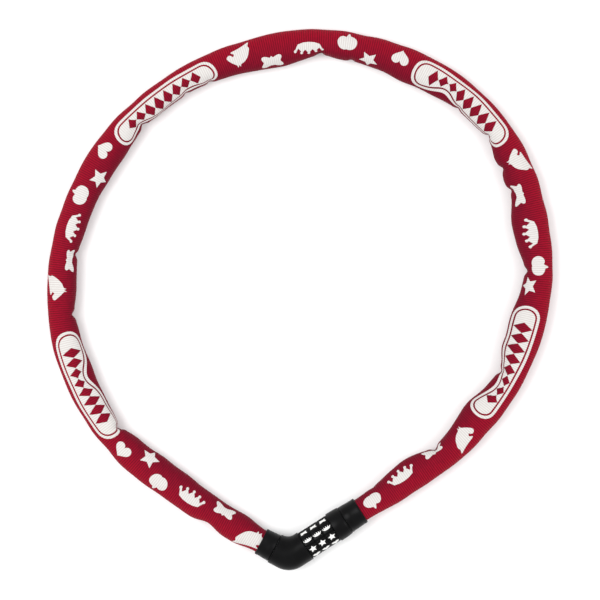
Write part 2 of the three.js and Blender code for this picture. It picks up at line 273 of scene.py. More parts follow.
def route_nearest(point):
    """How far along the route the nearest place to a point is."""
    apart = np.linalg.norm(route_line - np.array(point[:2]), axis=1)
    return float(route_along[int(apart.argmin())])


# ---- sleeve surface --------------------------------------------------------------

HALF_WIDTH = 7.65 * MM
INNER_HALF_WIDTH = 7.4 * MM
HALF_HEIGHT = 7.1 * MM
MOUTH_RADIUS = 6.0 * MM
MOUTH_TAPERS = (13 * MM, 24 * MM)  # at the elbow and at the plug
PRINT_RADIUS = 7.25 * MM  # turns a distance round the sleeve into an angle
TUCKED_IN = 1.5 * MM  # how far each end runs on into its collar
LINK_PAIR = 35.2 * MM

# Where the inner side of the sleeve tucks in between links, how deep, how wide, and how
# far the crease leans as it runs over the top: all in millimetres.
TUCKS = [
    (94, 3.8, 4.5, 3.0),
    (160, 2.2, 5.5, -3.5),
    (192, 1.8, 5.0, 2.5),
    (271, 2.9, 5.0, -4.0),
    (299, 1.1, 5.0, 3.0),
    (313, 1.2, 4.0, -2.0),
    (374, 3.9, 5.0, 4.5),
    (391, 1.0, 4.0, -2.5),
    (455, 1.0, 4.0, 2.5),
    (477, 2.8, 5.0, -4.5),
    (496, 1.3, 3.0, 2.0),
    (509, 1.3, 3.5, -2.0),
    (553, 2.2, 4.5, 3.5),
    (609, 2.2, 5.0, -4.0),
    (663, 3.4, 4.5, 3.5),
    (701, 0.8, 4.0, -2.0),
]
# Where the inner side is fuller or slacker over a longer stretch: place, height, half-length.
INNER_SWELLS = [
    (55, 2.5, 26),
    (131, 0.8, 13),
    (245, 1.3, 16),
    (292, -1.4, 18),
    (350, 2.0, 15),
    (423, 2.4, 13),
    (443, 1.0, 9),
    (490, 1.5, 6),
    (503, 1.8, 6),
    (530, 3.5, 16),
    (582, 3.5, 15),
    (597, 1.5, 6),
    (634, 2.8, 11),
    (680, 1.6, 12),
]
OUTER_SWELLS = [(28, -2.5, 6), (50, -0.9, 16), (76, 0.4, 7), (362, 0.6, 20), (657, 0.4, 8)]
# Where a fold runs along the upper side, and plain cloth from below comes up beyond it:
# place, half-length, and how far it moves the cloth outward.
DIMPLES = [
    (126, 8, 4.3),
    (189, 9, 1.6),
    (270, 8, 3.4),
    (303, 8, 3.0),
    (444, 8, 4.3),
    (513, 7, 1.8),
    (616, 9, 4.2),
]
FOLD_ANGLE = math.radians(120)  # from the outer side, over the top
wave_rng = np.random.default_rng(5)
WAVES = [
    (wave_rng.uniform(90, 420), int(wave_rng.integers(0, 4)), wave_rng.uniform(0, 6.28))
    for _ in range(9)
]


def bell(away, half_length):
    return np.exp(-((away / half_length) ** 2))


def ease(share):
    share = np.clip(share, 0, 1)
    return share * share * (3 - 2 * share)


def from_inside(angle):
    """The angle from the sleeve's inner side, over the top or under the bottom."""
    turned_back = (angle - math.pi) % (2 * math.pi)
    return np.minimum(turned_back, 2 * math.pi - turned_back)


def sleeve_surface(along, across):
    """Points of the fabric at distances along the route and across it, over the top towards the outside."""
    centre, outward = route_place(along)
    drift = np.zeros_like(along)
    share = ease((1.5 * MM - across) / (7.5 * MM)) * ease((across + 21 * MM) / (9 * MM))
    for place, half_length, lift in DIMPLES:
        drift += lift * MM * bell(along - place * MM, half_length * MM) * share
    angle = math.pi / 2 - (across + drift) / PRINT_RADIUS
    cosine, sine = np.cos(angle), np.sin(angle)
    inner = np.clip(-cosine, 0, 1)
    outer = np.clip(cosine, 0, 1)
    aside = from_inside(angle)
    free = ease(along / MOUTH_TAPERS[0]) * ease((SLEEVE_LENGTH - along) / MOUTH_TAPERS[1])
    swell = np.zeros_like(along)
    for place, height, half_length in INNER_SWELLS:
        swell += height * MM * bell(along - place * MM, half_length * MM) * inner
    for place, height, half_length in OUTER_SWELLS:
        swell += height * MM * bell(along - place * MM, half_length * MM) * outer
    for place, depth, spread, lean in TUCKS:
        away = along - place * MM
        tip = 1.3 * MM
        notch = np.exp(-(np.sqrt(away**2 + tip**2) - tip) / (spread * MM))
        swell -= depth * MM * notch * inner**1.4
        on_crease = away - lean * MM * np.clip(aside - 0.5, 0, 2)
        reach = np.clip(1 - aside / 2.0, 0, 1)
        swell -= 0.24 * (depth + 1) * MM * bell(on_crease, 1.3 * MM) * reach
        swell += 0.08 * (depth + 1) * MM * bell(np.abs(on_crease) - 2.8 * MM, 1.5 * MM) * reach
    for place, half_length, lift in DIMPLES:
        reach = bell(along - place * MM, 0.8 * half_length * MM)
        swell -= 0.22 * lift * MM * reach * bell(angle - FOLD_ANGLE, 0.2)
        swell += 0.08 * lift * MM * reach * bell(angle - FOLD_ANGLE + 0.5, 0.25)
    swell += 0.16 * MM * np.cos(2 * math.pi * along / LINK_PAIR) * np.abs(sine) ** 3
    for pitch, turns, phase in WAVES:
        swell += 0.05 * MM * np.sin(pitch * along + turns * angle + phase)
    swell *= free
    side = np.where(cosine < 0, INNER_HALF_WIDTH, HALF_WIDTH)
    reach_out = MOUTH_RADIUS + (side - MOUTH_RADIUS) * free + swell
    reach_up = MOUTH_RADIUS + (HALF_HEIGHT - MOUTH_RADIUS) * free + 0.6 * swell
    squareness = 0.93
    sideways = reach_out * np.sign(cosine) * np.abs(cosine) ** squareness
    height = reach_up * np.sign(sine) * np.abs(sine) ** squareness
    height = AXIS_Z - 0.35 * MM * free + height
    floor = 0.15 * MM
    height = np.where(height < floor, floor + 0.08 * (height - floor), height)
    middle = centre + outward * sideways[..., None]
    return np.concatenate([middle, height[..., None]], -1)


# ---- printed outlines, in millimetres: x along the sleeve, y towards the outside -----


def polar(radius, count=72):
    angles = [2 * math.pi * k / count for k in range(count)]
    return [(radius(t) * math.cos(t), radius(t) * math.sin(t)) for t in angles]


def lobe(t, middle, width):
    apart = (t - middle + math.pi) % (2 * math.pi) - math.pi
    return math.exp(-((apart / width) ** 2))


def scaled(outline, along, across):
    return [(along * x, across * y) for x, y in outline]


def star(radius=5.3, valley=2.6, points=5):
    """A star with one tip towards the inner side."""
    outline = []
    for k in range(2 * points):
        t = -math.pi / 2 + math.pi * k / points
        r = valley if k % 2 else radius
        outline.append((r * math.cos(t), r * math.sin(t)))
    return scaled(outline, 1, 0.86)


def heart(half_width=4.5):
    """A heart with its lobes towards the inner side."""
    scale = half_width / 16
    outline = []
    for k in range(48):
        t = 2 * math.pi * k / 48
        x = 16 * math.sin(t) ** 3
        y = 13 * math.cos(t) - 5 * math.cos(2 * t) - 2 * math.cos(3 * t) - math.cos(4 * t)
        outline.append((scale * x, -0.86 * scale * (y + 2)))
    return outline


def crown(ball=0.78):
    """A band that bows outward, and spikes that fan to the inner side, with a ball on each tip."""
    tips = [(7.1, -1.5), (3.8, -2.6), (0, -3.2), (-3.8, -2.6), (-7.1, -1.5)]
    outline = [(-5.6, 1.6), (-2.9, 2.3), (0, 2.5), (2.9, 2.3), (5.6, 1.6)]
    for k, (x, y) in enumerate(tips):
        heading = math.atan2(y - 6, x)
        for step in range(7):
            t = heading + math.radians(140 - step * 280 / 6)
            outline.append((x + ball * math.cos(t), y + ball * math.sin(t)))
        if k < len(tips) - 1:
            x1, y1 = tips[k + 1]
            outline.append(((x + x1) / 2, (y + y1) / 2 + 1.9))
    return outline


def butterfly():
    def radius(t):
        upper = 3.6 * (lobe(t, 0.42, 0.42) + lobe(t, math.pi - 0.42, 0.42))
        lower = 4.2 * (lobe(t, -0.44, 0.38) + lobe(t, math.pi + 0.44, 0.38))
        head = 0.6 * lobe(t, math.pi / 2, 0.2)
        return 2.1 + upper + lower + head

    return polar(radius, 96)


def apple():
    def radius(t):
        stem = 1.9 * lobe(t, math.pi / 2 - 0.12, 0.16)
        dips = 0.7 * lobe(t, math.pi / 2 + 0.32, 0.2) + 0.3 * lobe(t, -math.pi / 2, 0.2)
        return 3.4 + 1.5 * math.cos(t) ** 2 + stem - dips

    return polar(radius, 96)


def bird():
    corners = [
        (-6.3, -0.2), (-5.0, 1.1), (-3.7, 0.7), (-3.1, -0.1), (-2.2, 0.9), (-3.5, 2.3),
        (0.2, 3.2), (3.2, 4.2), (6.2, 5.6), (5.5, 3.2), (5.9, 1.5), (4.4, -1.5), (2.2, -3.5),
        (0.0, -4.4), (-0.5, -5.7), (-1.1, -4.6), (-1.9, -5.8), (-2.3, -4.4), (-4.3, -2.7),
    ]
    return [tuple(p) for p in smooth_line(corners, 4, closed=True)]


def capsule(half_length, half_width, count=14):
    straight = half_length - half_width
    outline = []
    for end in (1, -1):
        for k in range(count + 1):
            t = (0 if end > 0 else math.pi) - math.pi / 2 + math.pi * k / count
            outline.append((end * straight + half_width * math.cos(t), half_width * math.sin(t)))
    sides = []
    for k in range(len(outline)):
        here, there = outline[k], outline[(k + 1) % len(outline)]
        pieces = max(1, round(math.dist(here, there) / 1.5))
        for step in range(pieces):
            f = step / pieces
            sides.append((here[0] + f * (there[0] - here[0]), here[1] + f * (there[1] - here[1])))
    return sides


def diamond(middle, half_length, half_width):
    return [
        (middle + half_length, 0),
        (middle, half_width),
        (middle - half_length, 0),
        (middle, -half_width),
    ]


def badge(half_length, half_width):
    """A ring round a capsule, and a row of diamonds cut out of the capsule."""
    loops = [capsule(half_length - inset, half_width - inset) for inset in (0, 1.45, 2.3)]
    half_height = 0.64 * half_width
    step = (half_length - 6) / 4.5
    for k in range(8):
        loops.append(diamond((k - 3.5) * step, 0.5 * step - 0.05, half_height))
    return loops


BIRD = [bird()]
BUTTERFLY = [butterfly()]
CROWN = [crown()]
APPLE = [apple()]
STAR = [star()]
HEART = [heart()]
# The print: what, how far along the sleeve and how far towards its outer side.
PRINT = [
    ([scaled(bird(), 1.35, 1.25)], 4, 2.2),
    (BUTTERFLY, 23.5, -4.8),
    (CROWN, 42, -1.3),
    (APPLE, 59.7, 1.6),
    (STAR, 71, -4.6),
    (HEART, 84, 2.0),
    (badge(30, 7.6), 121.4, -1.6),
    (BIRD, 174, 3.2),
    (BUTTERFLY, 188.4, -4.5),
    (CROWN, 205.4, -0.8),
    (APPLE, 222.3, 0.6),
    (STAR, 234.2, -3.8),
    (HEART, 248, 2.0),
    (badge(31.5, 7.2), 287.3, -2.6),
    (BIRD, 332, 0.8),
    (BUTTERFLY, 348, -5.8),
    (CROWN, 368, -1.6),
    (APPLE, 387.5, 1.6),
    (STAR, 399.8, -5.0),
    (HEART, 415.4, 1.2),
    (badge(30.8, 7.4), 454.2, -2.2),
    (BIRD, 496, 1.8),
    (BUTTERFLY, 512.4, -5.4),
    (CROWN, 533.3, -1.7),
    (APPLE, 550.4, -0.2),
    (STAR, 561, -4.6),
    (badge(32, 6.4), 603.5, -3.0),
    (BIRD, 648, 0.4),
    (BUTTERFLY, 664.8, -5.6),
    (CROWN, 685.4, -3.0),
    (APPLE, 704.6, -1.8),
]
COLUMNS = 84
GIRTH = 2 * math.pi * PRINT_RADIUS
COLUMN_STEP = GIRTH / COLUMNS
STEP = 0.75 * MM
CLEAR_OF_ROW = 1e-5
WEAVE_UNIT = 10 * MM


def clipped(loops, low, high):
    """Outlines cut off at two distances along the sleeve."""
    kept = []
    for loop in loops:
        moved = [(min(max(x, low), high), y) for x, y in loop]
        tidy = [p for k, p in enumerate(moved) if math.dist(p, moved[k - 1]) > 1e-6]
        if len(tidy) > 2 and max(p[0] for p in tidy) - min(p[0] for p in tidy) > 1e-4:
            kept.append(tidy)
    return kept


def inside(point, loop):
    """Whether a point is inside a loop, by counting crossings."""
    x, y = point
    odd = False
    for k, (x1, y1) in enumerate(loop):
        x0, y0 = loop[k - 1]
        if (y0 > y) != (y1 > y) and x < x0 + (y - y0) / (y1 - y0) * (x1 - x0):
            odd = not odd
    return odd


def patch_of(loops, along, across, taken):
    """The cells of the grid that an outline needs, cut back where an earlier patch has them."""
    row_step = along[1] - along[0]
    xs = [p[0] for loop in loops for p in loop]
    ys = [p[1] for loop in loops for p in loop]
    r0 = max(0, int((min(xs) - along[0]) / row_step) - 1)
    r1 = min(len(along) - 1, int((max(xs) - along[0]) / row_step) + 2)
    c0 = int((min(ys) - across[0]) / COLUMN_STEP) - 1
    c1 = int((max(ys) - across[0]) / COLUMN_STEP) + 2
    if taken[r0:r1, c0:c1].any():
        while taken[r0, c0:c1].any():
            r0 += 1
        while taken[r1 - 1, c0:c1].any():
            r1 -= 1
        loops = clipped(loops, along[r0] + CLEAR_OF_ROW, along[r1] - CLEAR_OF_ROW)
    taken[r0:r1, c0:c1] = True
    return loops, r0, r1, c0, c1


def print_patch(loops, patch, along, across, flat):
    """Triangles of a patch with the outlines cut in, and whether each is inked."""
    r0, r1, c0, c1 = patch
    spots = [(r, c) for r in range(r0, r1 + 1) for c in range(c0, c1 + 1)]
    local = [Vector((along[r], across[c])) / MM for r, c in spots]
    names = [r * COLUMNS + c for r, c in spots]
    at = {spot: k for k, spot in enumerate(spots)}
    rim = [(r0, c) for c in range(c0, c1)] + [(r, c1) for r in range(r0, r1)]
    rim += [(r1, c) for c in range(c1, c0, -1)] + [(r, c0) for r in range(r1, r0, -1)]
    edges = [(at[rim[k - 1]], at[rim[k]]) for k in range(len(rim))]
    for loop in loops:
        first, count = len(local), len(loop)
        local += [Vector((x, y)) / MM for x, y in loop]
        names += [None] * count
        edges += [(first + k, first + (k + 1) % count) for k in range(count)]
    made = delaunay_2d_cdt(local, edges, [], 1, 1e-5, True)
    places, triangles, sources = made[0], made[2], made[3]
    numbers = []
    for place, source in zip(places, sources):
        number = next((names[k] for k in source if names[k] is not None), None)
        if number is None:
            number = len(flat)
            flat.append((place.x * MM, place.y * MM))
        numbers.append(number)
    faces, inked = [], []
    for triangle in triangles:
        centre = sum([places[k] for k in triangle], Vector((0, 0))) / len(triangle) * MM
        faces.append([numbers[k] for k in triangle])
        inked.append(sum(inside(centre, loop) for loop in loops) % 2)
    return faces, inked


def add_weave_map(piece, flat):
    """A map of the fabric laid flat, in centimetres."""
    mesh = piece.data
    weave = mesh.uv_layers.new(name="weave")
    corner_points = np.zeros(len(mesh.loops), np.int32)
    mesh.loops.foreach_get("vertex_index", corner_points)
    starts = np.zeros(len(mesh.polygons), np.int32)
    totals = np.zeros(len(mesh.polygons), np.int32)
    mesh.polygons.foreach_get("loop_start", starts)
    mesh.polygons.foreach_get("loop_total", totals)
    uv = flat[corner_points].copy()
    # faces that cross the seam underneath keep their corners on one side of it
    owner = np.repeat(np.arange(len(starts)), totals)
    order = np.concatenate([np.arange(s, s + t) for s, t in zip(starts, totals)])
    widest = np.full(len(starts), -np.inf)
    narrowest = np.full(len(starts), np.inf)
    np.maximum.at(widest, owner, uv[order, 1])
    np.minimum.at(narrowest, owner, uv[order, 1])
    crossing = (widest - narrowest) > GIRTH / 2
    fix = crossing[owner] & (uv[order, 1] < 0)
    uv[order[fix], 1] += GIRTH
    weave.data.foreach_set("uv", (uv / WEAVE_UNIT).astype(np.float32).ravel())


def make_sleeve():
    rows = int(round((SLEEVE_LENGTH + 2 * TUCKED_IN) / STEP))
    along = np.linspace(-TUCKED_IN, SLEEVE_LENGTH + TUCKED_IN, rows + 1)
    across = (np.arange(COLUMNS) - COLUMNS // 2) * COLUMN_STEP  # 0 at the top, seam underneath
    flat = [(a, b) for a in along for b in across]
    taken = np.zeros((rows, COLUMNS), bool)
    faces, inked = [], []
    for outlines, middle, side in PRINT:
        loops = [[((middle + x) * MM, (side + y) * MM) for x, y in loop] for loop in outlines]
        loops = clipped(loops, along[1], along[-2])
        loops, *patch = patch_of(loops, along, across, taken)
        more_faces, more_inked = print_patch(loops, patch, along, across, flat)
        faces += more_faces
        inked += more_inked
    for r in range(rows):
        for c in range(COLUMNS):
            if not taken[r, c]:
                here, after = r * COLUMNS + c, r * COLUMNS + (c + 1) % COLUMNS
                faces.append([here, after, after + COLUMNS, here + COLUMNS])
                inked.append(0)
    flat = np.array(flat)
    points = sleeve_surface(flat[:, 0], flat[:, 1])
    made = add_mesh("woven_sleeve", points, faces)
    made.data.polygons.foreach_set("material_index", inked)
    add_weave_map(made, flat)
    return facing_out(made), flat[:, 0]


# ---- chain ---------------------------------------------------------------------

CHAIN_OUTWARD = 1 * MM  # the chain lies against the outer side of the sleeve
CHAIN_HEIGHT = 7.8 * MM
WIRE_HALF = 1.6 * MM
LINK_CORNER = 3.4 * MM
LINK_HALF_WIDTH = 4.0 * MM  # to the middle of the wire
WIRE_SIDES = 12
LINK_FREE_RUN = 40 * MM  # the chain is held in the middle at the sleeve's ends
LINK_GIVE = 0.12  # part of the way to the middle that a point goes in one try
LINK_TRIES = 10
OPEN_SHARE = 1 / 8  # share of free directions above which a point is outside the cover
LOOKS = [  # directions from which a point of the chain mustn't be seen
    Vector((math.cos(a) * math.cos(e), math.sin(a) * math.cos(e), math.sin(e)))
    for e in (0.0, 0.6, 1.2)
    for a in (math.radians(45 * step) for step in range(8))
]
LINK_NAMES = sorted(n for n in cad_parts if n.startswith("chain_link_"))


def make_chain():
    """Rounded links in the places of the CAD links, as one piece."""
    points, faces, where = [], [], []
    for k, name in enumerate(LINK_NAMES):
        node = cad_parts[name]
        co = points_of(node)
        middle = (co.max(0) + co.min(0)) / 2
        spread = co - middle
        spread[:, 2] = 0
        vectors = np.linalg.eigh(spread.T @ spread)[1]
        heading = Vector(vectors[:, -1])
        heading = Vector((heading.x, heading.y, 0)).normalized()
        across = Vector((-heading.y, heading.x, 0))
        if k % 2:
            across = Vector((0, 0, 1))
        normal = heading.cross(across)
        reach = max(abs(Vector(p).dot(heading)) for p in co - middle) - WIRE_HALF
        line = []
        for quarter in range(4):
            sx, sy = (1, 1, -1, -1)[quarter], (-1, 1, 1, -1)[quarter]
            for step in range(7):
                t = math.radians(-90 + 90 * quarter + 15 * step)
                x = sx * (reach - LINK_CORNER) + LINK_CORNER * math.cos(t)
                y = sy * (LINK_HALF_WIDTH - LINK_CORNER) + LINK_CORNER * math.sin(t)
                line.append((x, y))
        centre_along = route_nearest(middle)
        free = ease(min(centre_along, SLEEVE_LENGTH - centre_along) / LINK_FREE_RUN)
        outward = route_place(np.array(centre_along))[1]
        middle[:2] += CHAIN_OUTWARD * free * outward
        count = len(line)
        rings = []
        for j, (x, y) in enumerate(line):
            ahead, behind = Vector(line[(j + 1) % count]), Vector(line[j - 1])
            tangent = (ahead - behind).normalized()
            out = Vector((tangent.y, -tangent.x))
            ring = []
            for step in range(WIRE_SIDES):
                t = 2 * math.pi * step / WIRE_SIDES
                a, b = math.cos(t), math.sin(t)
                square = WIRE_HALF / max(abs(a), abs(b)) * (1 - 0.16 * abs(math.sin(2 * t)))
                shift = out * (a * square)
                spot = heading * (x + shift.x) + across * (y + shift.y) + normal * (b * square)
                ring.append(Vector(middle) + spot)
            rings.append(ring)
        base = len(points)
        for ring in rings:
            points += ring
        for j in range(count):
            here, following = base + j * WIRE_SIDES, base + (j + 1) % count * WIRE_SIDES
            for step in range(WIRE_SIDES):
                after = (step + 1) % WIRE_SIDES
                faces.append((here + step, here + after, following + after, following + step))
        where += [centre_along] * (count * WIRE_SIDES)
    chain = facing_out(add_mesh("steel_chain", points, faces))
    return chain, np.array(where)


def stands_out(surface, point):
    """Whether a point is open to a fair part of the space round it, and so outside the cover."""
    free = [surface.ray_cast(Vector(point), look)[0] is None for look in LOOKS]
    return sum(free) > len(LOOKS) * OPEN_SHARE


def settle_chain(piece, cover):
    """Presses in the points of the links that would stand out of the cover.

    The first and the last link are left alone, because they run on into the lock.
    """
    surface = BVHTree.FromPolygons(
        [Vector(p) for p in points_of(cover)], [tuple(f.vertices) for f in cover.data.polygons]
    )
    co = points_of(piece)
    size = len(co) // len(LINK_NAMES)
    for start in range(size, len(co) - size, size):
        link = co[start : start + size]
        for _ in range(LINK_TRIES):
            out = [j for j in range(size) if stands_out(surface, link[j])]
            for j in out:
                middle = route_place(np.array(route_nearest(link[j])))[0]
                link[j] += LINK_GIVE * (np.array([*middle, CHAIN_HEIGHT]) - link[j])
            if not out:
                break
    set_points(piece, co)


# ---- laying a piece straight and back ---------------------------------------------


def follow_plug(piece, along):
    """The piece is laid out straight, each point at its distance along the route, and its transform is
    baked there.

    It is blended while it lies straight, so that the pull spreads evenly along the route,
    Then it takes its bent shape again.
    """
    bent = points_of(piece)
    set_points(piece, np.stack([along, 0 * along, 0 * along], -1))
    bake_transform(piece)
    set_points(piece, bent)


# ---- cord ------------------------------------------------------------------------

sleeve, sleeve_along = make_sleeve()
chain, chain_along = make_chain()
settle_chain(chain, sleeve)
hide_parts("sleeve")
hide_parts(*LINK_NAMES)
follow_plug(sleeve, sleeve_along)
follow_plug(chain, chain_along)
path_along = np.arange(0, SLEEVE_LENGTH, 5 * MM)
path_xy = route_place(np.append(path_along, SLEEVE_LENGTH))[0]

# ---- lock body --------------------------------------------------------------------

EDGE = 0.25 * MM
INNER_FILLET = 5.6 * MM
OUTER_ROUND = 12 * MM
RECESS = 5.9 * MM  # radius of the hidden openings in the lock's plastic pieces
ELBOW_SIDES = 72
COLLAR_SLIM = (7.35 * MM, 7 * MM)  # radius at the seam and near the mouth


def elbow_rails():
    """Points of the elbow's inner and outer sides, station by station from the dials to the seam."""
    turn = LEG_HEADING
    half = turn / 2
    reach = HOUSING_RADIUS / math.sin(half) * math.cos(half)
    rails = []
    for side, bend in ((1, INNER_FILLET), (-1, OUTER_ROUND)):
        corner = Vector((BEND_X + side * reach, side * HOUSING_RADIUS))
        tangent = bend / math.tan(half)
        start = corner + Vector((tangent, 0))
        direction = Vector((math.cos(turn), math.sin(turn)))
        centre = start + Vector((0, bend))
        face = Vector((ELBOW_FACE_X, side * HOUSING_RADIUS))
        seam = Vector((BEND_X, 0)) + direction * LEG_SEAM
        seam = seam + Vector((direction.y, -direction.x)) * side * HOUSING_RADIUS
        points = [face.lerp(start, k / 4) for k in range(4)]
        for k in range(17):
            t = -math.pi / 2 - (math.pi - turn) * k / 16
            points.append(centre + Vector((math.cos(t), math.sin(t))) * bend)
        last = points[-1]
        points += [last.lerp(seam, k / 3) for k in range(1, 4)]
        rails.append(points)
    return rails


def make_elbow():
    inner, outer = elbow_rails()
    rings = []
    for a, b in zip(inner, outer):
        middle, radius = (a + b) / 2, (a - b) / 2
        ring = []
        for j in range(ELBOW_SIDES):
            t = 2 * math.pi * j / ELBOW_SIDES
            flat = middle + radius * math.cos(t)
            height = max(HOUSING_RADIUS * math.sin(t), -AXIS_Z)
            ring.append(Vector((flat.x, flat.y, AXIS_Z + height)))
        rings.append(ring)

    def recess(ring, depth, direction):
        centre = sum(ring, Vector()) / len(ring)
        centre.z = AXIS_Z
        mouth = [centre + (p - centre).normalized() * RECESS for p in ring]
        deep = [p + direction * depth for p in mouth]
        return mouth, deep

    mouth, deep = recess(rings[0], 4 * MM, Vector((-1, 0, 0)))
    far_mouth, far_deep = recess(rings[-1], 3 * MM, -LEG_DIRECTION)
    points, faces = loft([deep, mouth, *rings, far_mouth, far_deep])
    return facing_out(add_mesh("elbow_shell", points, faces))


def make_collar(name, place, x0, x1):
    """A tapered collar with a rounded lip where the sleeve goes in."""
    slim0, slim1 = COLLAR_SLIM
    lip = 0.5 * MM
    inner_end = x1 - 2.2 * MM
    profile = [
        (x0, RECESS),
        (x0, slim0 - 0.3 * MM),
        (x0 + 0.3 * MM, slim0),
        (x0 + 0.4 * (x1 - x0), slim0 + 0.45 * (slim1 - slim0)),
        (x1 - 1.6 * MM, slim1 + 0.02 * MM),
        (x1 - 1.3 * MM, slim1 + 0.12 * MM),
    ]
    for k in range(7):
        t = math.pi / 2 * k / 6
        profile.append((x1 - lip + lip * math.sin(t), slim1 + 0.1 * MM - lip + lip * math.cos(t)))
    profile += [(x1 - 0.1 * MM, slim1 - 0.55 * MM), (inner_end, slim1 - 0.7 * MM)]
    profile += [(inner_end, RECESS)]
    return turned(name, profile, place)


def make_plug():
    """The plug's cap, hollow towards the dials, with a slight taper towards its collar."""
    x0, x1 = DIALS_FRONT_X + SEAM, face_high.x
    profile = [
        (x0, 5.95 * MM),
        (x0, HOUSING_RADIUS - 0.25 * MM),
        (x0 + 0.08 * MM, HOUSING_RADIUS - 0.08 * MM),
        (x0 + 0.3 * MM, HOUSING_RADIUS),
        (x0 + 3.2 * MM, HOUSING_RADIUS),
        (x0 + 4.6 * MM, HOUSING_RADIUS - 0.08 * MM),
        (x0 + 5.8 * MM, HOUSING_RADIUS - 0.22 * MM),
        (x1 - 0.15 * MM, HOUSING_RADIUS - 0.36 * MM),
        (x1, HOUSING_RADIUS - 0.5 * MM),
        (x1, 4.85 * MM),
        (x0 + 1.65 * MM, 4.85 * MM),
        (x0 + 1.65 * MM, 5.95 * MM),
    ]
    made = turned("plug_cap", profile)
    for vertex in made.data.vertices:
        vertex.co.z = max(vertex.co.z, 0)
    return made


# ---- dials -----------------------------------------------------------------------

SYMBOL_COUNT = 9
TOP_FLAT_TILT = math.radians(23.4)
FLAT_DEPTH = 7.3 * MM  # from the axis to the middle of a flat
DIAL_BORE = 6.2 * MM
DIAL_SIDES = 216
DIAL_CHAMFER = 0.32 * MM
SYMBOL_RAISE = 0.05 * MM  # half the thickness of a printed symbol


def dial_radius(angle):
    """Nine flats and a rounded groove between each two."""
    pitch = 2 * math.pi / SYMBOL_COUNT
    first = math.pi / 2 + TOP_FLAT_TILT
    off = (angle - first + pitch / 2) % pitch - pitch / 2
    to_groove = pitch / 2 - abs(off)
    flat = FLAT_DEPTH / math.cos(off)
    groove = 0.62 * MM * math.exp(-((to_groove / math.radians(2.6)) ** 2))
    return min(flat, DIAL_RADIUS) - groove


def make_dial(name, middle, width):
    count, chamfer = DIAL_SIDES, DIAL_CHAMFER
    rows = []
    profile = [
        (-width / 2, None),
        (-width / 2, 0.75 * chamfer),
        (-width / 2 + 0.35 * chamfer, 0.25 * chamfer),
        (-width / 2 + chamfer, 0),
        (width / 2 - chamfer, 0),
        (width / 2 - 0.35 * chamfer, 0.25 * chamfer),
        (width / 2, 0.75 * chamfer),
        (width / 2, None),
    ]
    for x, inset in profile:
        ring = []
        for j in range(count):
            t = 2 * math.pi * j / count
            r = DIAL_BORE if inset is None else dial_radius(t) - inset
            ring.append(on_barrel(middle + x, r * math.cos(t), r * math.sin(t)))
        rows.append(ring)
    points, faces = loft(rows, closed_ends=False)
    last = (len(rows) - 1) * count
    for j in range(count):
        following = (j + 1) % count
        faces.append((last + j, last + following, following, j))
    return facing_out(add_mesh(name, points, faces))


def flower():
    return polar(lambda t: 4.2 + 1.5 * math.cos(6 * t), 96)


def moon():
    outer = [(5.2 * math.cos(t), 5.2 * math.sin(t)) for t in np.linspace(0.75, 5.53, 30)]
    inner = [(2.1 + 3.9 * math.cos(t), 3.9 * math.sin(t)) for t in np.linspace(5.2, 1.08, 24)]
    return outer + inner


def fish():
    corners = [
        (-5.6, 0), (-3.2, 2.6), (0.4, 2.9), (3.2, 0.8), (5.8, 3.2), (5.0, 0), (5.8, -3.2),
        (3.2, -0.8), (0.4, -2.9), (-3.2, -2.6),
    ]
    return [tuple(p) for p in smooth_line(corners, 4, closed=True)]


def upside_down(outline):
    return [(-x, -y) for x, y in outline]


DIAL_SYMBOLS = [
    (upside_down(star()), 0.41),
    (upside_down(heart()), 0.46),
    (apple(), 0.4),
    (bird(), 0.35),
    (moon(), 0.4),
    (flower(), 0.37),
    (fish(), 0.37),
    (butterfly(), 0.31),
    (upside_down(crown()), 0.3),
]


def make_symbols(name, middle):
    """The printed symbols of one dial: thin plates on its flats."""
    points, faces = [], []
    for k, (outline, size) in enumerate(DIAL_SYMBOLS):
        tilt = TOP_FLAT_TILT + k * 2 * math.pi / SYMBOL_COUNT
        normal = Vector((0, -math.sin(tilt), math.cos(tilt)))
        up = Vector((0, math.cos(tilt), math.sin(tilt)))
        centre = on_barrel(middle, 0, 0) + normal * FLAT_DEPTH
        flat = [Vector((x * size * MM, y * size * MM)) for x, y in outline]
        count = len(flat)
        rim = [(j, (j + 1) % count) for j in range(count)]
        made = delaunay_2d_cdt([p / MM for p in flat], rim, [], 1, 1e-6, True)
        places = [p * MM for p in made[0]]
        base = len(points)
        for lift in (SYMBOL_RAISE, -SYMBOL_RAISE):
            for p in places:
                points.append(centre + Vector((1, 0, 0)) * p.x + up * p.y + normal * lift)
        size_top = len(places)
        for triangle in made[2]:
            corners = [places[j] for j in triangle]
            if not inside(sum(corners, Vector((0, 0))) / len(corners), flat):
                continue
            faces.append([base + j for j in triangle])
            faces.append([base + size_top + j for j in reversed(triangle)])
        home = {}
        for new, sources in enumerate(made[3]):
            for old in sources:
                home[old] = new
        for a, b in rim:
            a, b = base + home[a], base + home[b]
            faces.append((a, a + size_top, b + size_top, b))
    return facing_out(add_mesh(name, points, faces, smooth=False))


# ---- materials --------------------------------------------------------------------


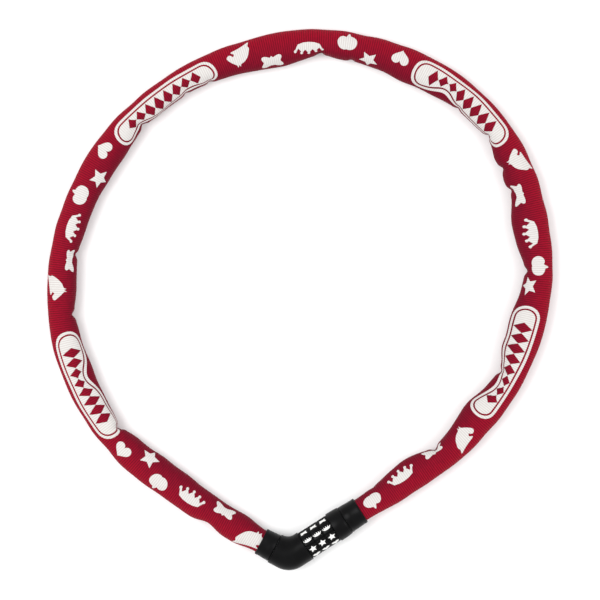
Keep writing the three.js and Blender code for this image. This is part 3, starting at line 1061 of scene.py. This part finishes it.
class Nodes:
    """A material's node tree, with short calls to add and join nodes."""

    def __init__(self, name):
        self.material = bpy.data.materials.new(name)
        self.material.use_nodes = True
        self.tree = self.material.node_tree
        self.shader = self.tree.nodes["Principled BSDF"]

    def add(self, kind, inputs=None, **settings):
        node = self.tree.nodes.new(kind)
        for key, value in settings.items():
            setattr(node, key, value)
        for key, value in (inputs or {}).items():
            socket = node.inputs[key]
            if isinstance(value, bpy.types.NodeSocket):
                self.tree.links.new(value, socket)
            else:
                socket.default_value = value
        return node

    def math(self, operation, a, b=0.0, c=0.0):
        return self.add("ShaderNodeMath", {0: a, 1: b, 2: c}, operation=operation).outputs[0]

    def set(self, **values):
        for key, value in values.items():
            socket = self.shader.inputs[key.replace("_", " ")]
            if isinstance(value, bpy.types.NodeSocket):
                self.tree.links.new(value, socket)
            else:
                socket.default_value = value

    def noise(self, scale, detail=3.0, roughness=0.55, vector=None):
        inputs = {"Scale": scale, "Detail": detail, "Roughness": roughness}
        if vector is not None:
            inputs["Vector"] = vector
        return self.add("ShaderNodeTexNoise", inputs)

    def object_space(self):
        return self.add("ShaderNodeTexCoord").outputs["Object"]

    def ramp(self, value, stops):
        node = self.add("ShaderNodeValToRGB", {"Fac": value})
        elements = node.color_ramp.elements
        while len(elements) < len(stops):
            elements.new(0.5)
        for element, (position, colour) in zip(elements, stops):
            element.position = position
            element.color = (*colour, 1)
        return node.outputs["Color"]

    def mix(self, factor, a, b):
        node = self.add("ShaderNodeMix", data_type="RGBA")
        for socket, value in ((node.inputs[0], factor), (node.inputs[6], a), (node.inputs[7], b)):
            if isinstance(value, bpy.types.NodeSocket):
                self.tree.links.new(value, socket)
            else:
                socket.default_value = value if isinstance(value, float) else (*value, 1)
        return node.outputs[2]

    def bump(self, height, strength, distance, normal=None):
        inputs = {"Height": height, "Strength": strength, "Distance": distance}
        if normal is not None:
            inputs["Normal"] = normal
        return self.add("ShaderNodeBump", inputs).outputs["Normal"]


RIB_PITCH = 1.1 * MM
YARN_PITCH = 0.5 * MM


def woven(name, stretched, inner_shade, valley, sheen_tint, ink):
    """Cross-ribbed fabric: ribs over the sleeve, fine yarns in them, painted shade that darkens the colour
    towards the inner side, and painted shade in the weave's valleys.
    """
    n = Nodes(name)
    uv = n.add("ShaderNodeUVMap", uv_map="weave").outputs["UV"]
    split = n.add("ShaderNodeSeparateXYZ", {"Vector": uv})
    along, across = split.outputs["X"], split.outputs["Y"]
    wobble = n.noise(9.0, 2.0, vector=uv).outputs["Fac"]
    shifted = n.math("MULTIPLY_ADD", wobble, 0.05, along)
    rib_wave = n.math("SINE", n.math("MULTIPLY", shifted, 2 * math.pi * WEAVE_UNIT / RIB_PITCH))
    rib = n.math("MULTIPLY_ADD", rib_wave, 0.5, 0.5)
    rib_number = n.math("FLOOR", n.math("MULTIPLY", shifted, WEAVE_UNIT / RIB_PITCH))
    half_step = n.math("MULTIPLY", rib_number, math.pi)
    yarn_phase = n.math("MULTIPLY_ADD", across, 2 * math.pi * WEAVE_UNIT / YARN_PITCH, half_step)
    yarn = n.math("MULTIPLY_ADD", n.math("SINE", yarn_phase), 0.5, 0.5)
    weave = n.math("MULTIPLY_ADD", yarn, 0.35, n.math("MULTIPLY", rib, 0.65))
    patch = n.noise(3.2, 4.0, vector=uv).outputs["Fac"]
    fine = n.noise(60.0, 2.0, vector=uv).outputs["Fac"]
    # painted shade: the colour darkens from the outer side towards the inner side, with slow noise in where
    # it turns; the outer colour is the fabric's own
    side = n.math("MULTIPLY_ADD", across, 0.8, 0.53)
    side = n.math("ADD", side, n.math("MULTIPLY_ADD", patch, 0.9, -0.45))
    side = n.add("ShaderNodeClamp", {"Value": side}).outputs[0]
    body = n.mix(side, inner_shade, stretched)
    # painted shade: the weave's low rib and yarn valleys take the darker valley colour, with fine noise in
    # it
    depth = n.math("MULTIPLY_ADD", weave, 0.9, n.math("MULTIPLY_ADD", fine, 0.3, -0.1))
    depth = n.add("ShaderNodeClamp", {"Value": depth}).outputs[0]
    colour = n.mix(depth, valley, body)
    n.set(Base_Color=colour)
    rough = n.math("MULTIPLY_ADD", fine, 0.12, 0.66 if not ink else 0.5)
    n.set(Roughness=rough)
    n.set(Sheen_Weight=0.02)
    n.set(Sheen_Roughness=0.4)
    n.set(Sheen_Tint=(*sheen_tint, 1))
    n.set(Specular_IOR_Level=0.06)
    height = n.math("MULTIPLY_ADD", weave, 1.0 if not ink else 0.65, n.math("MULTIPLY", fine, 0.15))
    n.set(Normal=n.bump(height, 0.7, 0.14 * MM))
    return n.material


def plastic(name, colour, roughness, grain):
    """Moulded plastic: fine grain, slow colour change and dull patches where hands rub it."""
    n = Nodes(name)
    space = n.object_space()
    fine = n.noise(2600.0, 2.0, vector=space).outputs["Fac"]
    slow = n.noise(90.0, 4.0, vector=space).outputs["Fac"]
    lighter = tuple(2 * c for c in colour)
    n.set(Base_Color=n.ramp(slow, [(0.35, colour), (0.75, lighter)]))
    n.set(Roughness=n.math("MULTIPLY_ADD", slow, 0.22, roughness - 0.08))
    n.set(Specular_IOR_Level=0.08)
    n.set(Normal=n.bump(fine, 0.25, grain))
    return n.material


def pad_print(name):
    n = Nodes(name)
    space = n.object_space()
    slow = n.noise(700.0, 3.0, vector=space).outputs["Fac"]
    n.set(Base_Color=n.ramp(slow, [(0.3, (0.66, 0.66, 0.64)), (0.6, (0.74, 0.74, 0.72))]))
    n.set(Roughness=n.math("MULTIPLY_ADD", slow, 0.2, 0.4))
    return n.material


def steel(name, colour, roughness, lines):
    """Steel with fine turning or drawing marks."""
    n = Nodes(name)
    space = n.object_space()
    stretched = n.add("ShaderNodeMapping", {"Vector": space, "Scale": lines}).outputs["Vector"]
    marks = n.noise(900.0, 3.0, vector=stretched).outputs["Fac"]
    slow = n.noise(160.0, 3.0, vector=space).outputs["Fac"]
    darker = tuple(0.7 * c for c in colour)
    n.set(Base_Color=n.ramp(slow, [(0.3, darker), (0.7, colour)]))
    n.set(Metallic=1.0)
    n.set(Roughness=n.math("MULTIPLY_ADD", marks, 0.25, roughness - 0.1))
    n.set(Normal=n.bump(marks, 0.2, 0.03 * MM))
    return n.material


def wear(piece, material):
    piece.data.materials.clear()
    piece.data.materials.append(material)


# each weave: its own outer colour, an inner colour darkened as painted shade, a valley colour darkened as
# painted shade, its sheen tint, and whether it is ink
RED = woven(
    "red_weave", (0.37, 0.004, 0.021), (0.19, 0.003, 0.018), (0.075, 0.001, 0.006), (1.0, 0.55, 0.6), False
)
INK = woven(
    "printed_weave", (0.66, 0.66, 0.63), (0.60, 0.61, 0.59), (0.44, 0.39, 0.38), (1.0, 1.0, 1.0), True
)
BLACK = plastic("black_plastic", (0.0018, 0.0018, 0.002), 0.34, 0.02 * MM)
DIAL_BLACK = plastic("dial_plastic", (0.0016, 0.0016, 0.0018), 0.3, 0.015 * MM)
WHITE_INK = pad_print("white_ink")
ZINC = steel("zinc_steel", (0.46, 0.47, 0.49), 0.38, (1, 1, 1))
TURNED = steel("turned_steel", (0.58, 0.59, 0.61), 0.3, (1, 0.15, 0.15))
SPRING = steel("spring_steel", (0.32, 0.33, 0.36), 0.32, (0.2, 1, 1))

sleeve.data.materials.append(RED)
sleeve.data.materials.append(INK)
wear(chain, ZINC)


def finish_piece(piece, body, material, slot, *nodes):
    wear(piece, material)
    if nodes:
        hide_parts(*nodes)
    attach(piece, body)


elbow = soften(make_elbow(), EDGE, angle=40)
finish_piece(elbow, "elbow", BLACK, "black_plastic", "elbow_housing")
elbow_collar = make_collar("elbow_end_collar", on_leg, LEG_SEAM + SEAM, LEG_MOUTH)
finish_piece(elbow_collar, "elbow", BLACK, "black_plastic", "elbow_collar")
plug = make_plug()
finish_piece(plug, "plug", BLACK, "black_plastic", "plug_housing")
plug_collar = make_collar("plug_end_collar", on_barrel, face_high.x + SEAM, collar_high.x)
finish_piece(plug_collar, "plug", BLACK, "black_plastic", "plug_collar")

for number in (1, 2, 3):
    low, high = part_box(f"dial_ring_{number}")
    middle, width = (low.x + high.x) / 2, DIAL_PITCH - SEAM
    dial = make_dial(f"dial_{number}_ring", middle, width)
    finish_piece(dial, f"dial_{number}", DIAL_BLACK, "dial_plastic", f"dial_ring_{number}")
    symbols = make_symbols(f"dial_{number}_symbols", middle)
    finish_piece(symbols, f"dial_{number}", WHITE_INK, "dial_plastic")
    wear(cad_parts[f"code_ring_{number}"], TURNED)

TURNED_NODES = ("elbow_anchor", "elbow_chain_pin", "barrel_tube", "barrel_cross_pin")
for name in (*TURNED_NODES, "locking_bolt", "plug_chain_pin"):
    wear(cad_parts[name], TURNED)
for name in ("detent_spring", "retaining_clip"):
    wear(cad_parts[name], SPRING)

# ---- floor and light ---------------------------------------------------------------


def make_floor():
    half = 4.0
    corners = [(-half, -half, 0), (half, -half, 0), (half, half, 0), (-half, half, 0)]
    floor = add_mesh("floor", corners, [(0, 1, 2, 3)], smooth=False)
    n = Nodes("pale_floor")
    n.set(Base_Color=(0.9, 0.9, 0.9, 1), Roughness=0.9, Specular_IOR_Level=0.1)
    wear(floor, n.material)


def add_light(name, place, aim, size, power):
    data = bpy.data.lights.new(name, "AREA")
    data.shape = "DISK"
    data.size = size
    data.energy = power
    light = bpy.data.objects.new(name, data)
    light.location = place
    light.rotation_euler = (Vector(aim) - Vector(place)).to_track_quat("-Z", "Y").to_euler()
    bpy.context.scene.collection.objects.link(light)


make_floor()
world = bpy.data.worlds.new("studio")
world.use_nodes = True
world.node_tree.nodes["Background"].inputs["Color"].default_value = (1, 1, 1, 1)
world.node_tree.nodes["Background"].inputs["Strength"].default_value = 1.0
bpy.context.scene.world = world
middle_of_loop = (0.07, 0.107, 0)
add_light("key", (-0.5, 0.55, 1.3), middle_of_loop, 0.9, 12)
add_light("fill", (0.9, -0.5, 1.2), middle_of_loop, 1.0, 7)
bpy.context.scene.view_settings.view_transform = "Standard"
